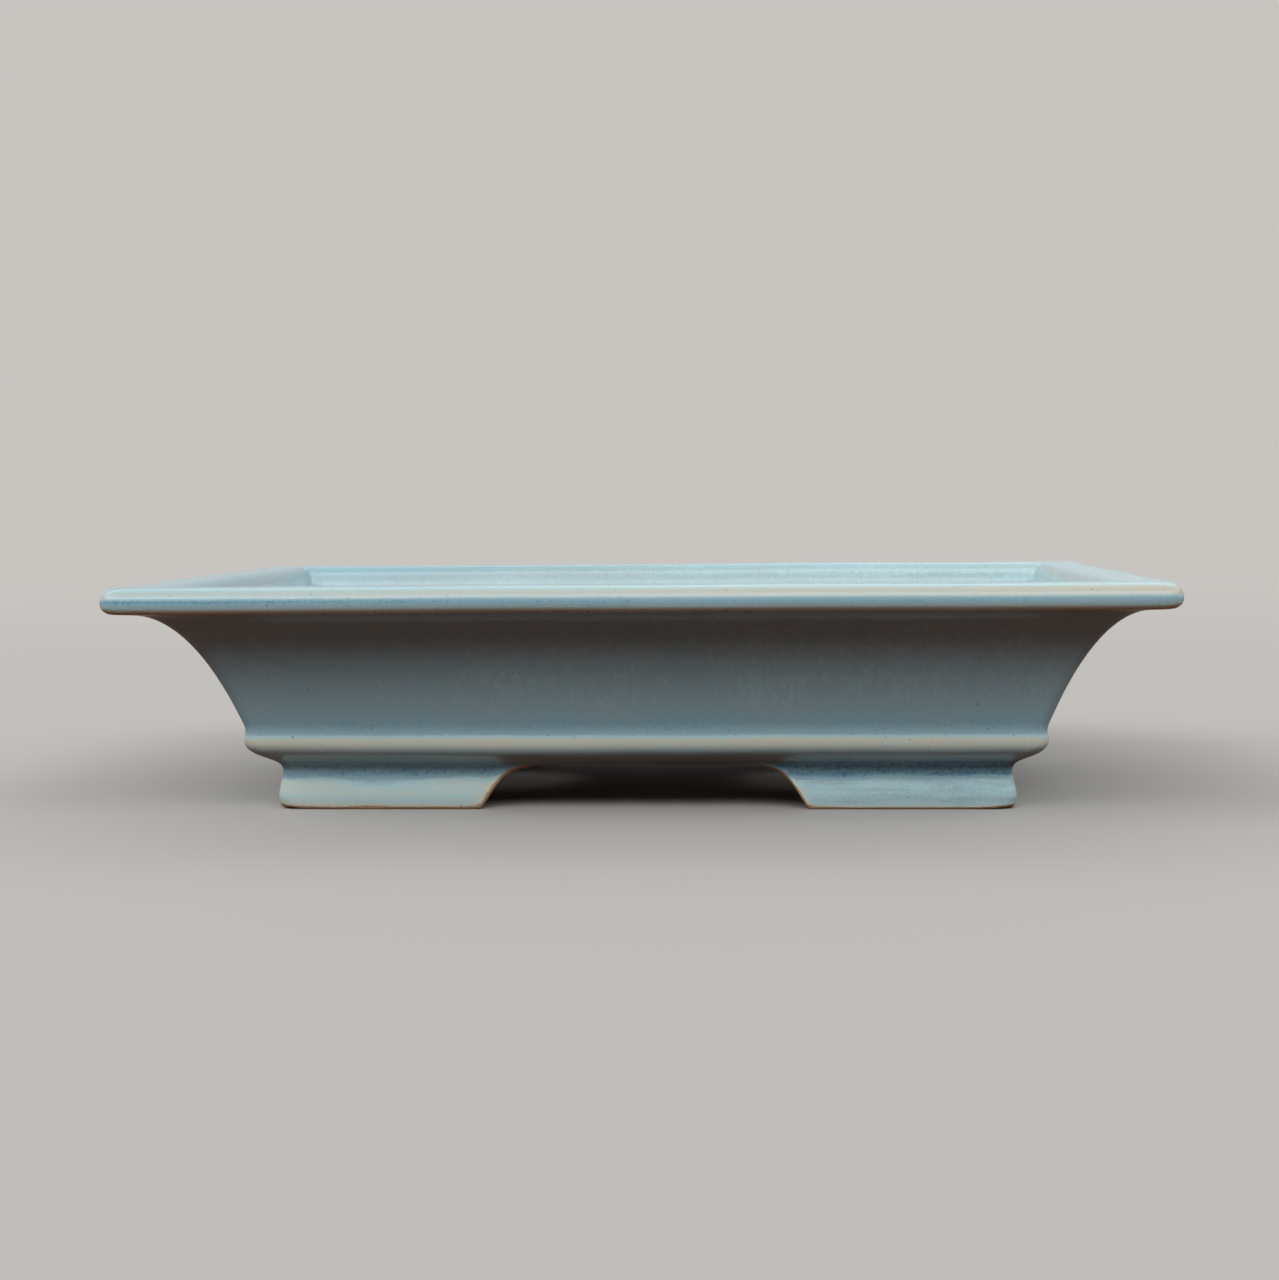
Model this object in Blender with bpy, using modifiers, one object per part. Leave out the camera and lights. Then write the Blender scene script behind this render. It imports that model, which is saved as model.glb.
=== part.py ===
"""A rectangular glazed stoneware bonsai pot, laid out as the slabs it is luted together from.

A shallow tray forms the floor and the rounded moulding round the foot of the body. Four coved walls
flare out from it to four mitred lip strips, and four L-shaped feet stand under the corners. A mesh
screen lies over each drain hole, held by a bent wire clip.

Frame: origin on the ground under the middle of the pot, +X along its length, -Y its front, +Z up.
Units: metres.
"""

import math

import bmesh
import bpy
from mathutils import Matrix, Vector

MM = 0.001

# Driving dimensions
LENGTH = 365 * MM
DEPTH = 275 * MM
HEIGHT = 81.6 * MM
GAP = 0.3 * MM  # left between luted pieces, and under and over loose ones

# A section point lies OUT from the middle along X. Along Y it lies this much less.
NARROWER = (LENGTH - DEPTH) / 2

# Heights of the joints between the pieces
FOOT_TOP = 16.0 * MM
BODY_FOOT = 29.1 * MM
LIP_FOOT = 66.0 * MM

# Lip
LIP_OUT = LENGTH / 2
LIP_UNDER = 73.0 * MM
LIP_TOP_ROUND = 4.0 * MM
LIP_EDGE_ROUND = 4.0 * MM
OPENING_OUT = 162.0 * MM

# Floor tray
FLOOR_TOP = 25.5 * MM
TRAY_INNER_OUT = 134.0 * MM
TRAY_FILLET = 3.3 * MM
DRAIN_HOLE_RADIUS = 15.0 * MM
DRAIN_HOLE_X = 62.0 * MM
WIRE_HOLE_RADIUS = 2.8 * MM
WIRE_HOLE_X = 98.0 * MM
WIRE_HOLE_Y = 50.0 * MM

# Feet
FOOT_INNER_OUT = 120.0 * MM
SOLE_ROUND = 1.2 * MM
FRONT_ARCH = 58.8 * MM  # half-width of the cut-out at the ground
SIDE_ARCH = 37.0 * MM
ARCH_REACH = 1.0 * MM  # how far the cut-out's cutter runs below the ground and above the feet

# Plan radii of the corners
LIP_CORNER = 5.0 * MM
BODY_CORNER = 4.0 * MM
BEAD_CORNER = 5.5 * MM
INNER_CORNER = 3.0 * MM
SOLE_CORNER = 6.0 * MM

# Facets
CORNER_STEPS = 4
ROUND_STEPS = 4
SOLE_STEPS = 3
INNER_COVE_STEPS = 8
SHOULDER_STEPS = 3
ARCH_STEPS = 6
DRAIN_HOLE_SIDES = 32
WIRE_HOLE_SIDES = 12
LOOP_STEPS = 12
BEND_STEPS = 3
CERAMIC_SMOOTH = 35  # degrees below which neighbouring facets shade as one surface
WIRE_SMOOTH = 50
HALVINGS = 40  # when a curve is cut at a height
WELD = 0.01 * MM

# Drain screens and their clips
SCREEN_PITCH = 4.0 * MM
SCREEN_CELLS = 9
SCREEN_STRAND = 1.1 * MM
SCREEN_THICK = 1.2 * MM
SCREEN_BORDER = 2.0 * MM
WIRE_RADIUS = 0.75 * MM
CLIP_LEG_X = 3 * SCREEN_PITCH
CLIP_TIP_X = 21.0 * MM
CLIP_LOOP_RADIUS = 4.2 * MM
CLIP_BEND_RADIUS = 1.6 * MM

# The section's curves, each a knot, two handles and a knot, as (out, height) in millimetres.
# The outer ones follow each other up the outside: foot, bead and cove.
FOOT_FACE = ((132.5, 1.2), (133.5, 5.2), (131.3, 10.2), (130.9, 12.6))
FOOT_FILLET = ((130.9, 12.6), (130.7, 14.6), (131.3, 16.3), (133.7, 17.5))
BEAD_UNDER = ((133.7, 17.5), (138.4, 19.6), (142.9, 21.5), (142.9, 25.0))
BEAD_OVER = ((142.9, 25.0), (142.9, 27.4), (142.0, 27.2), (142.0, 29.1))
COVE_FOOT = ((142.0, 29.1), (142.0, 30.4), (142.6, 31.8), (143.2, 33.1))
COVE = ((143.2, 33.1), (146.7, 42.1), (157.2, 70.3), (172.4, 73.0))
OUTSIDE = ((FOOT_FACE, 4), (FOOT_FILLET, 4), (BEAD_UNDER, 5), (BEAD_OVER, 3), (COVE_FOOT, 2), (COVE, 10))
ARCH_SIDE = ((0.0, 0.0), (-5.5, 8.5), (-8.0, 14.5), (-17.5, 15.0))  # from its foot inwards
INNER_COVE = ((134.0, 29.1), (136.5, 36.0), (146.0, 61.0), (160.0, 72.0))
SHOULDER = ((160.0, 72.0), (161.4, 73.1), (162.0, 74.5), (162.0, 76.5))


def clear_scene():
    for obj in list(bpy.data.objects):
        bpy.data.objects.remove(obj)


def make_collection(name):
    collection = bpy.data.collections.new(name)
    bpy.context.scene.collection.children.link(collection)
    return collection


def make_material(name, colour, roughness, metallic=0.0):
    material = bpy.data.materials.new(name)
    material.use_nodes = True
    shader = material.node_tree.nodes["Principled BSDF"]
    shader.inputs["Base Color"].default_value = (*colour, 1.0)
    shader.inputs["Roughness"].default_value = roughness
    shader.inputs["Metallic"].default_value = metallic
    material.diffuse_color = (*colour, 1.0)
    return material


def arc(centre, radius, start, end, steps):
    """Points along a circular arc, with its angles in degrees and both ends included."""
    points = []
    for i in range(steps + 1):
        angle = math.radians(start + (end - start) * i / steps)
        x = centre[0] + radius * math.cos(angle)
        points.append((x, centre[1] + radius * math.sin(angle)))
    return points


def cubic(knots, t):
    """The point at t on a cubic curve whose knots and handles are in millimetres."""
    weights = ((1 - t) ** 3, 3 * t * (1 - t) ** 2, 3 * t**2 * (1 - t), t**3)
    return tuple(MM * sum(w * k[axis] for w, k in zip(weights, knots)) for axis in (0, 1))


def at_height(knots, height):
    """Where on a rising cubic curve a height is reached."""
    before, after = 0.0, 1.0
    for _ in range(HALVINGS):
        middle = (before + after) / 2
        if cubic(knots, middle)[1] < height:
            before = middle
        else:
            after = middle
    return before


def span(knots, steps, low=-math.inf, high=math.inf):
    """Points along a rising cubic curve, or along its part between two heights."""
    first = at_height(knots, low) if low > MM * knots[0][1] else 0.0
    last = at_height(knots, high) if high < MM * knots[3][1] else 1.0
    return [cubic(knots, first + (last - first) * i / steps) for i in range(steps + 1)]


def outside(low, high):
    """Points up the outside of the pot between two heights."""
    points = []
    for knots, steps in OUTSIDE:
        if MM * knots[3][1] > low and MM * knots[0][1] < high:
            points += span(knots, steps, low, high)[1 if points else 0 :]
    return points


def with_corner(points, radius):
    return [(out, height, radius) for out, height in points]


def rounded_rectangle(out, height, radius):
    """The plan outline of the pot at one point of its section."""
    half = Vector((out, out - NARROWER))
    outline = []
    for corner, (sx, sy) in enumerate(((1, 1), (-1, 1), (-1, -1), (1, -1))):
        centre = (sx * (half.x - radius), sy * (half.y - radius))
        turn = 90 * corner
        for x, y in arc(centre, radius, turn, turn + 90, CORNER_STEPS):
            outline.append(Vector((x, y, height)))
    return outline


def loft(name, outlines, closed):
    """A mesh through outlines of equal length: a ring if closed, and otherwise capped at both ends."""
    bm = bmesh.new()
    loops = [[bm.verts.new(point) for point in outline] for outline in outlines]
    following = loops[1:] + loops[:1] if closed else loops[1:]
    for near, far in zip(loops, following):
        for i, vert in enumerate(near):
            bm.faces.new((near[i - 1], vert, far[i], far[i - 1]))
    if not closed:
        bm.faces.new(loops[0])
        bm.faces.new(loops[-1])
    bmesh.ops.recalc_face_normals(bm, faces=bm.faces)
    mesh = bpy.data.meshes.new(name)
    bm.to_mesh(mesh)
    bm.free()
    return mesh


def add_object(name, mesh, collection, material=None, smooth_below=None):
    obj = bpy.data.objects.new(name, mesh)
    collection.objects.link(obj)
    if material is not None:
        mesh.materials.clear()
        mesh.materials.append(material)
    if smooth_below is not None:
        mesh.shade_smooth()
        mesh.set_sharp_from_angle(angle=math.radians(smooth_below))
    return obj


def make_cutter(name, mesh, collection):
    cutter = add_object(name, mesh, collection)
    cutter.hide_render = True
    cutter.display_type = "WIRE"
    return cutter


def cut(obj, cutter, operation):
    modifier = obj.modifiers.new(cutter.name, "BOOLEAN")
    modifier.operation = operation
    modifier.object = cutter
    modifier.solver = "EXACT"


def block(name, size):
    bm = bmesh.new()
    bmesh.ops.create_cube(bm, size=1.0, matrix=Matrix.Diagonal((*size, 1.0)))
    mesh = bpy.data.meshes.new(name)
    bm.to_mesh(mesh)
    bm.free()
    return mesh


def mitre_cutters(collection):
    """Square blocks set cornerwise, so that their sides cut the corners at 45 degrees."""
    side = 2 * DEPTH
    apex = side / math.sqrt(2)
    kept_back = GAP / math.sqrt(2)
    along_y = NARROWER - kept_back - apex
    along_x = NARROWER + kept_back + apex
    places = {
        "front": (0, along_y),
        "back": (0, -along_y),
        "left": (-along_x, 0),
        "right": (along_x, 0),
    }
    cutters = {}
    for side_name, (x, y) in places.items():
        mesh = block("mitre_" + side_name, (side, side, side))
        cutter = make_cutter("mitre_" + side_name, mesh, collection)
        cutter.location = (x, y, 0)
        cutter.rotation_euler.z = math.radians(45)
        cutters[side_name] = cutter
    return cutters


def lip_section():
    """The lip with the top of the cove under it, from the joint round its outer edge and back."""
    under = outside(LIP_FOOT + GAP, LIP_UNDER)
    edge = arc((LIP_OUT - LIP_EDGE_ROUND, LIP_UNDER + LIP_EDGE_ROUND), LIP_EDGE_ROUND, -90, 0, ROUND_STEPS)
    crown = arc((LIP_OUT - LIP_TOP_ROUND, HEIGHT - LIP_TOP_ROUND), LIP_TOP_ROUND, 0, 90, ROUND_STEPS)
    inner_top = (OPENING_OUT + LIP_TOP_ROUND, HEIGHT - LIP_TOP_ROUND)
    inner = arc(inner_top, LIP_TOP_ROUND, 90, 180, ROUND_STEPS)
    shoulder = span(SHOULDER, SHOULDER_STEPS)[::-1]
    throat = span(INNER_COVE, SHOULDER_STEPS, low=LIP_FOOT + GAP)[::-1]
    outer_points = with_corner(under, BODY_CORNER) + with_corner(edge + crown, LIP_CORNER)
    return outer_points + with_corner(inner + shoulder + throat[1:], INNER_CORNER)


def wall_section():
    outer = outside(BODY_FOOT, LIP_FOOT)
    inner = span(INNER_COVE, INNER_COVE_STEPS, high=LIP_FOOT)[::-1]
    return with_corner(outer, BODY_CORNER) + with_corner(inner, INNER_CORNER)


def foot_section():
    """The upright strip that the four feet are cut from."""
    top = FOOT_TOP - GAP
    face = outside(0.0, top)
    sole_outer = arc((face[0][0] - SOLE_ROUND, SOLE_ROUND), SOLE_ROUND, -90, 0, SOLE_STEPS)
    sole_inner = arc((FOOT_INNER_OUT + SOLE_ROUND, SOLE_ROUND), SOLE_ROUND, 180, 270, SOLE_STEPS)
    outer = with_corner(sole_outer, SOLE_CORNER) + with_corner(face[1:], BODY_CORNER)
    return outer + with_corner([(FOOT_INNER_OUT, top), *sole_inner], INNER_CORNER)


def tray_outlines():
    """Outlines from the edge of the tray's underside over its bead and down to its floor."""
    bead = outside(FOOT_TOP, BODY_FOOT - GAP)
    fillet_centre = (TRAY_INNER_OUT - TRAY_FILLET, FLOOR_TOP + TRAY_FILLET)
    fillet = arc(fillet_centre, TRAY_FILLET, 0, -90, ROUND_STEPS)
    section = with_corner(bead, BEAD_CORNER) + with_corner(fillet, INNER_CORNER)
    return [rounded_rectangle(*point) for point in section]


def ring(name, section):
    return loft(name, [rounded_rectangle(*point) for point in section], closed=True)


def build_lip_and_walls(parts, cutters, glaze_lip, glaze_wall):
    mitres = mitre_cutters(cutters)
    for prefix, section, material in (
        ("rim", lip_section(), glaze_lip),
        ("wall", wall_section(), glaze_wall),
    ):
        mesh = ring(prefix, section)
        for side_name, mitre in mitres.items():
            piece = add_object(f"{prefix}_{side_name}", mesh, parts, material, smooth_below=CERAMIC_SMOOTH)
            cut(piece, mitre, "INTERSECT")


def arch_cutter(name, half_width, along_x, collection):
    """A tunnel under the pot: sloping sides that turn over into a flat top."""
    side = [(half_width + x, z) for x, z in span(ARCH_SIDE, ARCH_STEPS)]
    right = [(half_width, -ARCH_REACH), *side, (side[-1][0], FOOT_TOP + ARCH_REACH)]
    profile = right + [(-x, z) for x, z in reversed(right)]
    ends = (-LENGTH, LENGTH)
    if along_x:
        outlines = [[Vector((end, x, z)) for x, z in profile] for end in ends]
    else:
        outlines = [[Vector((x, end, z)) for x, z in profile] for end in ends]
    return make_cutter(name, loft(name, outlines, closed=False), collection)


def build_feet(parts, cutters, material):
    front_arch = arch_cutter("arch_front_to_back", FRONT_ARCH, False, cutters)
    side_arch = arch_cutter("arch_side_to_side", SIDE_ARCH, True, cutters)
    mesh = ring("foot", foot_section())
    for end_name, sy in (("front", -1), ("back", 1)):
        for side_name, sx in (("left", -1), ("right", 1)):
            quarter = make_cutter(
                f"quarter_{end_name}_{side_name}",
                block("quarter", (LENGTH, LENGTH, LENGTH)),
                cutters,
            )
            quarter.location = (sx * LENGTH / 2, sy * LENGTH / 2, 0)
            name = f"foot_{end_name}_{side_name}"
            foot = add_object(name, mesh, parts, material, smooth_below=CERAMIC_SMOOTH)
            cut(foot, quarter, "INTERSECT")
            cut(foot, front_arch, "DIFFERENCE")
            cut(foot, side_arch, "DIFFERENCE")


def hole_cutter(name, radius, x, y, steps, collection):
    bm = bmesh.new()
    bmesh.ops.create_cone(
        bm, cap_ends=True, segments=steps, radius1=radius, radius2=radius, depth=HEIGHT
    )
    mesh = bpy.data.meshes.new(name)
    bm.to_mesh(mesh)
    bm.free()
    cutter = make_cutter(name, mesh, collection)
    cutter.location = (x, y, 0)
    return cutter


def build_tray(parts, cutters, material):
    mesh = loft("base_plate", tray_outlines(), closed=False)
    tray = add_object("base_plate", mesh, parts, material, smooth_below=CERAMIC_SMOOTH)
    for sx in (-1, 1):
        name, x = f"drain_hole_{sx}", sx * DRAIN_HOLE_X
        cut(tray, hole_cutter(name, DRAIN_HOLE_RADIUS, x, 0, DRAIN_HOLE_SIDES, cutters), "DIFFERENCE")
        for sy in (-1, 1):
            name = f"wire_hole_{sx}_{sy}"
            x, y = sx * WIRE_HOLE_X, sy * WIRE_HOLE_Y
            hole = hole_cutter(name, WIRE_HOLE_RADIUS, x, y, WIRE_HOLE_SIDES, cutters)
            cut(tray, hole, "DIFFERENCE")


def screen_mesh():
    """A flat square net with square openings between its strands."""
    half = SCREEN_CELLS * SCREEN_PITCH / 2
    lines = [-half - SCREEN_BORDER]
    for i in range(SCREEN_CELLS):
        opening_start = -half + i * SCREEN_PITCH + SCREEN_STRAND / 2
        lines += [opening_start, opening_start + SCREEN_PITCH - SCREEN_STRAND]
    lines.append(half + SCREEN_BORDER)
    spans = len(lines) - 1
    bm = bmesh.new()
    bmesh.ops.create_grid(bm, x_segments=spans, y_segments=spans, size=1.0)
    for vert in bm.verts:
        column = round((vert.co.x + 1) / 2 * spans)
        row = round((vert.co.y + 1) / 2 * spans)
        vert.co = Vector((lines[column], lines[row], 0))
    openings = [face for face in bm.faces if is_opening(face, lines)]
    bmesh.ops.delete(bm, geom=openings, context="FACES")
    mesh = bpy.data.meshes.new("screen")
    bm.to_mesh(mesh)
    bm.free()
    return mesh


def is_opening(face, lines):
    """True for the odd spans between the net's grid lines, which are the holes."""
    middle = face.calc_center_median()
    column = sum(line < middle.x for line in lines) - 1
    row = sum(line < middle.y for line in lines) - 1
    return column % 2 == 1 and row % 2 == 1


def clip_path():
    """Half of the clip's centre line, from the middle of its top out to a tip under the floor."""
    top = FLOOR_TOP + 2 * GAP + SCREEN_THICK + WIRE_RADIUS
    under = FOOT_TOP - GAP - WIRE_RADIUS
    loop_centre = (CLIP_LEG_X, -CLIP_LOOP_RADIUS)
    loop = arc(loop_centre, CLIP_LOOP_RADIUS, -140, 90, LOOP_STEPS)
    flat = [Vector((x, y, top)) for x, y in [(0.0, 0.0), *loop[:-1]]]
    upper_bend = [Vector((CLIP_LEG_X, 0, top)), Vector((CLIP_LEG_X, 0, top - CLIP_BEND_RADIUS))]
    bend_centre = (CLIP_LEG_X + CLIP_BEND_RADIUS, under + CLIP_BEND_RADIUS)
    bend = arc(bend_centre, CLIP_BEND_RADIUS, 180, 270, BEND_STEPS)
    lower_bend = [Vector((x, 0, z)) for x, z in bend]
    return flat + upper_bend + lower_bend + [Vector((CLIP_TIP_X, 0, under))]


def wire_mesh(name, points):
    """A round wire along the points, as one closed mesh."""
    curve = bpy.data.curves.new(name, "CURVE")
    curve.dimensions = "3D"
    curve.bevel_depth = WIRE_RADIUS
    curve.bevel_resolution = 2
    curve.use_fill_caps = True
    spline = curve.splines.new("POLY")
    spline.points.add(len(points) - 1)
    for target, point in zip(spline.points, points):
        target.co = (*point, 1.0)
    holder = bpy.data.objects.new(name, curve)
    bpy.context.scene.collection.objects.link(holder)
    evaluated = holder.evaluated_get(bpy.context.evaluated_depsgraph_get())
    mesh = bpy.data.meshes.new_from_object(evaluated)
    bpy.data.objects.remove(holder)
    bm = bmesh.new()
    bm.from_mesh(mesh)
    bmesh.ops.remove_doubles(bm, verts=bm.verts, dist=WELD)
    bmesh.ops.recalc_face_normals(bm, faces=bm.faces)
    bm.to_mesh(mesh)
    bm.free()
    return mesh


def build_screens(parts, plastic, wire):
    net = screen_mesh()
    half = clip_path()
    other_half = [Vector((-p.x, -p.y, p.z)) for p in half[:0:-1]]
    clip = wire_mesh("clip", other_half + half)
    for side_name, sx in (("left", -1), ("right", 1)):
        screen = add_object("drain_screen_" + side_name, net, parts, plastic)
        screen.location = (sx * DRAIN_HOLE_X, 0, FLOOR_TOP + GAP)
        solidify = screen.modifiers.new("thickness", "SOLIDIFY")
        solidify.thickness = SCREEN_THICK
        solidify.offset = 1.0
        holder = add_object("screen_clip_" + side_name, clip, parts, wire, smooth_below=WIRE_SMOOTH)
        holder.location = (sx * DRAIN_HOLE_X, 0, 0)


def main():
    clear_scene()
    parts = make_collection("bonsai_pot")
    cutters = make_collection("cutters")
    lip_glaze = make_material("lip_glaze", (0.36, 0.56, 0.61), 0.18)
    wall_glaze = make_material("wall_glaze", (0.32, 0.51, 0.57), 0.20)
    tray_glaze = make_material("tray_glaze", (0.38, 0.54, 0.56), 0.22)
    foot_glaze = make_material("foot_glaze", (0.34, 0.54, 0.60), 0.20)
    net_plastic = make_material("net_plastic", (0.02, 0.02, 0.02), 0.55)
    clip_wire = make_material("clip_wire", (0.62, 0.60, 0.57), 0.35, metallic=1.0)
    build_lip_and_walls(parts, cutters, lip_glaze, wall_glaze)
    build_tray(parts, cutters, tray_glaze)
    build_feet(parts, cutters, foot_glaze)
    build_screens(parts, net_plastic, clip_wire)


main()
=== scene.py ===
"""Looks for the bonsai pot: fine clay slabs, one continuous glaze coat over them, drain screens,
wire clips, and a plain pale studio.

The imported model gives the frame. Section curves are in millimetres, and everything else in metres.
"""
import math

import bmesh
import bpy
import numpy as np
from mathutils import Euler, Matrix, Vector, noise


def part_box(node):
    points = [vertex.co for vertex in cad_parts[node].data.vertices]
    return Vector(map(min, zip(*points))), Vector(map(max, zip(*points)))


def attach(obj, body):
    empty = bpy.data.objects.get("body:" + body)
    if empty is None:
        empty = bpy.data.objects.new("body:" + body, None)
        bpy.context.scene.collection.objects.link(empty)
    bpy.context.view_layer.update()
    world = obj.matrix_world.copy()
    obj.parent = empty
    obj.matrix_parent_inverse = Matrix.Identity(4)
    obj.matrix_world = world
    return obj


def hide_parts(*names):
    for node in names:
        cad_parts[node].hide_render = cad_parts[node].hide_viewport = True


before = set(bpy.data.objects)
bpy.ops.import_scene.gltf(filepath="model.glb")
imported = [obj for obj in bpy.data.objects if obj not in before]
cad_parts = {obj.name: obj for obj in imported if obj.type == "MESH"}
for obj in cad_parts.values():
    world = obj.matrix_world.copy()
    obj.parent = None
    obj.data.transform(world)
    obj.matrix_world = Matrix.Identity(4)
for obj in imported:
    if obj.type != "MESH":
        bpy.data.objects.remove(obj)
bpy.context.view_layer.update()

MM = 0.001
noise.seed_set(1)  # otherwise noise_vector is offset by the clock, and each run differs


# ------------------------------------------------------------------ sizes from the frame

lip_low, lip_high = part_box("rim_right")
front_low, front_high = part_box("rim_front")
plate_low, plate_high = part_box("base_plate")
wall_low, wall_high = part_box("wall_right")
screen_low, screen_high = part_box("drain_screen_right")
clip_low, clip_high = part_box("screen_clip_right")

GAP = 0.3 * MM
LIP_OUT = lip_high.x
NARROWER = LIP_OUT + front_low.y  # how much less the half-depth is than the half-length
HEIGHT = lip_high.z
FOOT_TOP = plate_low.z
BODY_FOOT = wall_low.z
LIP_FOOT = wall_high.z
FLOOR_TOP = screen_low.z - GAP
DRAIN_HOLE_X = (screen_low.x + screen_high.x) / 2

# ------------------------------------------------------------------ shape values

THIN_GLAZE, DEEP_GLAZE = 0.12 * MM, 0.75 * MM
BEDDED = 0.15 * MM  # how far the coat reaches into the clay
LIP_UNDER = 73.0 * MM
LIP_TOP_ROUND = 4.0 * MM
LIP_EDGE_ROUND = 3.2 * MM
OPENING_OUT = 162.0 * MM
FOOT_INNER_OUT = 120.0 * MM
GLAZE_LINE_FOOT = 0.9 * MM
GLAZE_LINE_INSIDE = 57.0 * MM
FRONT_ARCH, SIDE_ARCH = 58.8 * MM, 37.0 * MM
ARCH_TOP = 15.0 * MM
BARE_EDGE = 0.8 * MM
CORNER_LIFT = 1.0 * MM  # how far the foot's outer corner is rubbed up off the ground
DRAIN_HOLE_RADIUS, WIRE_HOLE_RADIUS = 15.0 * MM, 2.8 * MM
WIRE_HOLE_X, WIRE_HOLE_Y = 98.0 * MM, 50.0 * MM

# Plan radii of the corners
LIP_CORNER, BODY_CORNER, BEAD_CORNER = 6.0 * MM, 4.2 * MM, 5.6 * MM
INNER_CORNER, FLOOR_CORNER, SOLE_CORNER = 3.0 * MM, 6.0 * MM, 6.0 * MM

# Columns round the plan
LONG_STEPS, SHORT_STEPS, CORNER_STEPS = 92, 68, 10

# The section's curves: knot, handle, handle, knot, as (out, height) in millimetres
FOOT_FACE = ((132.5, 1.2), (133.5, 5.2), (131.3, 10.2), (130.9, 12.6))
FOOT_FILLET = ((130.9, 12.6), (130.7, 14.6), (131.3, 16.3), (133.7, 17.5))
BEAD_UNDER = ((133.7, 17.5), (138.4, 19.6), (142.9, 21.5), (142.9, 25.0))
BEAD_OVER = ((142.9, 25.0), (142.9, 27.4), (142.0, 27.2), (142.0, 29.1))
COVE_FOOT = ((142.0, 29.1), (142.0, 30.4), (142.6, 31.8), (143.2, 33.1))
COVE = ((143.2, 33.1), (146.7, 42.1), (157.2, 70.3), (172.4, 73.0))
SHOULDER = ((162.24, 78.97), (161.5, 76.9), (161.3, 73.1), (160.0, 72.0))
INNER_WALL = ((160.0, 72.0), (146.0, 61.0), (136.5, 36.0), (134.0, 29.1))
FLOOR_FILLET = ((134.0, 29.1), (133.4, 26.6), (132.6, 25.5), (129.0, 25.5))
ARCH_SIDE = ((0.0, 0.0), (-5.5, 8.5), (-8.0, 14.5), (-17.5, 15.0))


# ------------------------------------------------------------------ section and plan

def cubic(knots, steps):
    """Points along a cubic curve, in metres."""
    t = np.linspace(0, 1, steps + 1)[:, None]
    k = np.array(knots) * MM
    return (1 - t) ** 3 * k[0] + 3 * t * (1 - t) ** 2 * k[1] + 3 * t**2 * (1 - t) * k[2] + t**3 * k[3]


def arc(centre, radius, start, end, steps):
    """Points along an arc, with angles in degrees."""
    angle = np.radians(np.linspace(start, end, steps + 1))
    return np.array(centre) + radius * np.stack((np.cos(angle), np.sin(angle)), axis=1)


def chain(*curves):
    """Joins (points, corner radii, glaze depths) curves into rows of out, height, corner radius, glaze depth.

    Radii and depths are given at a curve's ends, or evenly along it. A depth of 0 is bare and 1 a pool; the depths
    also carry painted shade and highlight.
    """
    rows = []
    for points, radii, depths in curves:
        share = np.linspace(0, 1, len(points))
        columns = [np.interp(share, np.linspace(0, 1, len(ends)), ends) for ends in (radii, depths)]
        part = np.column_stack((points, *columns))
        if rows and np.allclose(rows[-1][-1, :2], part[0, :2]):
            part = part[1:]
        rows.append(part)
    return np.vstack(rows)


def plan_columns():
    """For each column round the plan: its place along the straights from -1 to 1, and its normal's angle."""
    along_x, along_y, turn = [], [], []
    sides = (((1, -1), (1, 1), SHORT_STEPS), ((1, 1), (-1, 1), LONG_STEPS),
             ((-1, 1), (-1, -1), SHORT_STEPS), ((-1, -1), (1, -1), LONG_STEPS))
    for number, (start, end, steps) in enumerate(sides):
        share = np.arange(steps) / steps
        along_x += list(start[0] + (end[0] - start[0]) * share)
        along_y += list(start[1] + (end[1] - start[1]) * share)
        turn += [90 * number] * steps
        along_x += [end[0]] * CORNER_STEPS
        along_y += [end[1]] * CORNER_STEPS
        turn += list(90 * number + 90 * np.arange(CORNER_STEPS) / CORNER_STEPS)
    return np.array(along_x), np.array(along_y), np.radians(turn)


COLUMN_X, COLUMN_Y, COLUMN_TURN = plan_columns()


def ring_points(rows):
    """Points round the pot, a loop for each section row."""
    out, height, radius = rows[:, 0:1], rows[:, 1:2], rows[:, 2:3]
    x = COLUMN_X * (out - radius) + radius * np.cos(COLUMN_TURN)
    y = COLUMN_Y * (out - NARROWER - radius) + radius * np.sin(COLUMN_TURN)
    return np.stack((x, y, height + np.zeros_like(x)), axis=2)


def section_normals(rows):
    step = np.gradient(rows[:, :2], axis=0)
    normal = np.stack((step[:, 1], -step[:, 0]), axis=1)
    return normal / np.linalg.norm(normal, axis=1)[:, None]


def offset_rows(rows, distances):
    """A section moved out along its normals, with its corner radii to match."""
    shift = section_normals(rows) * distances[:, None]
    moved = rows.copy()
    moved[:, :2] += shift
    moved[:, 2] = np.maximum(rows[:, 2] + shift[:, 0], 0.5 * MM)
    return moved


def outer_face():
    """Up the outside of the clay, from the foot to the start of the lip."""
    # These depths were also set against the lit surface, so beside glaze thickness they carry painted light. The
    # deep band at the foot's top is partly painted shadow of the bead, the pale foot below it is partly a painted
    # reflection, and the cream bead crest is partly a painted highlight.
    foot_depths_and_shadow = (0.08, 0.34, 0.39, 0.39, 0.36, 0.34, 0.33, 0.33, 0.34, 0.37, 0.46, 0.59, 0.69, 0.75)
    return chain(
        (cubic(FOOT_FACE, 14), (SOLE_CORNER, BODY_CORNER), foot_depths_and_shadow),
        (cubic(FOOT_FILLET, 9), (BODY_CORNER, BEAD_CORNER), (0.72, 0.80, 0.68)),
        (cubic(BEAD_UNDER, 12), (BEAD_CORNER, BEAD_CORNER), (0.48, 0.38, 0.36, 0.40, 0.24, 0.15)),
        (cubic(BEAD_OVER, 8), (BEAD_CORNER, BODY_CORNER), (0.14, 0.17, 0.38, 0.56, 0.62)),
        (cubic(COVE_FOOT, 5), (BODY_CORNER, BODY_CORNER), (0.62, 0.62)),
        (cubic(COVE, 28), (BODY_CORNER, BODY_CORNER), (0.61, 0.55, 0.53, 0.53, 0.53, 0.53, 0.53)),
    )


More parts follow.
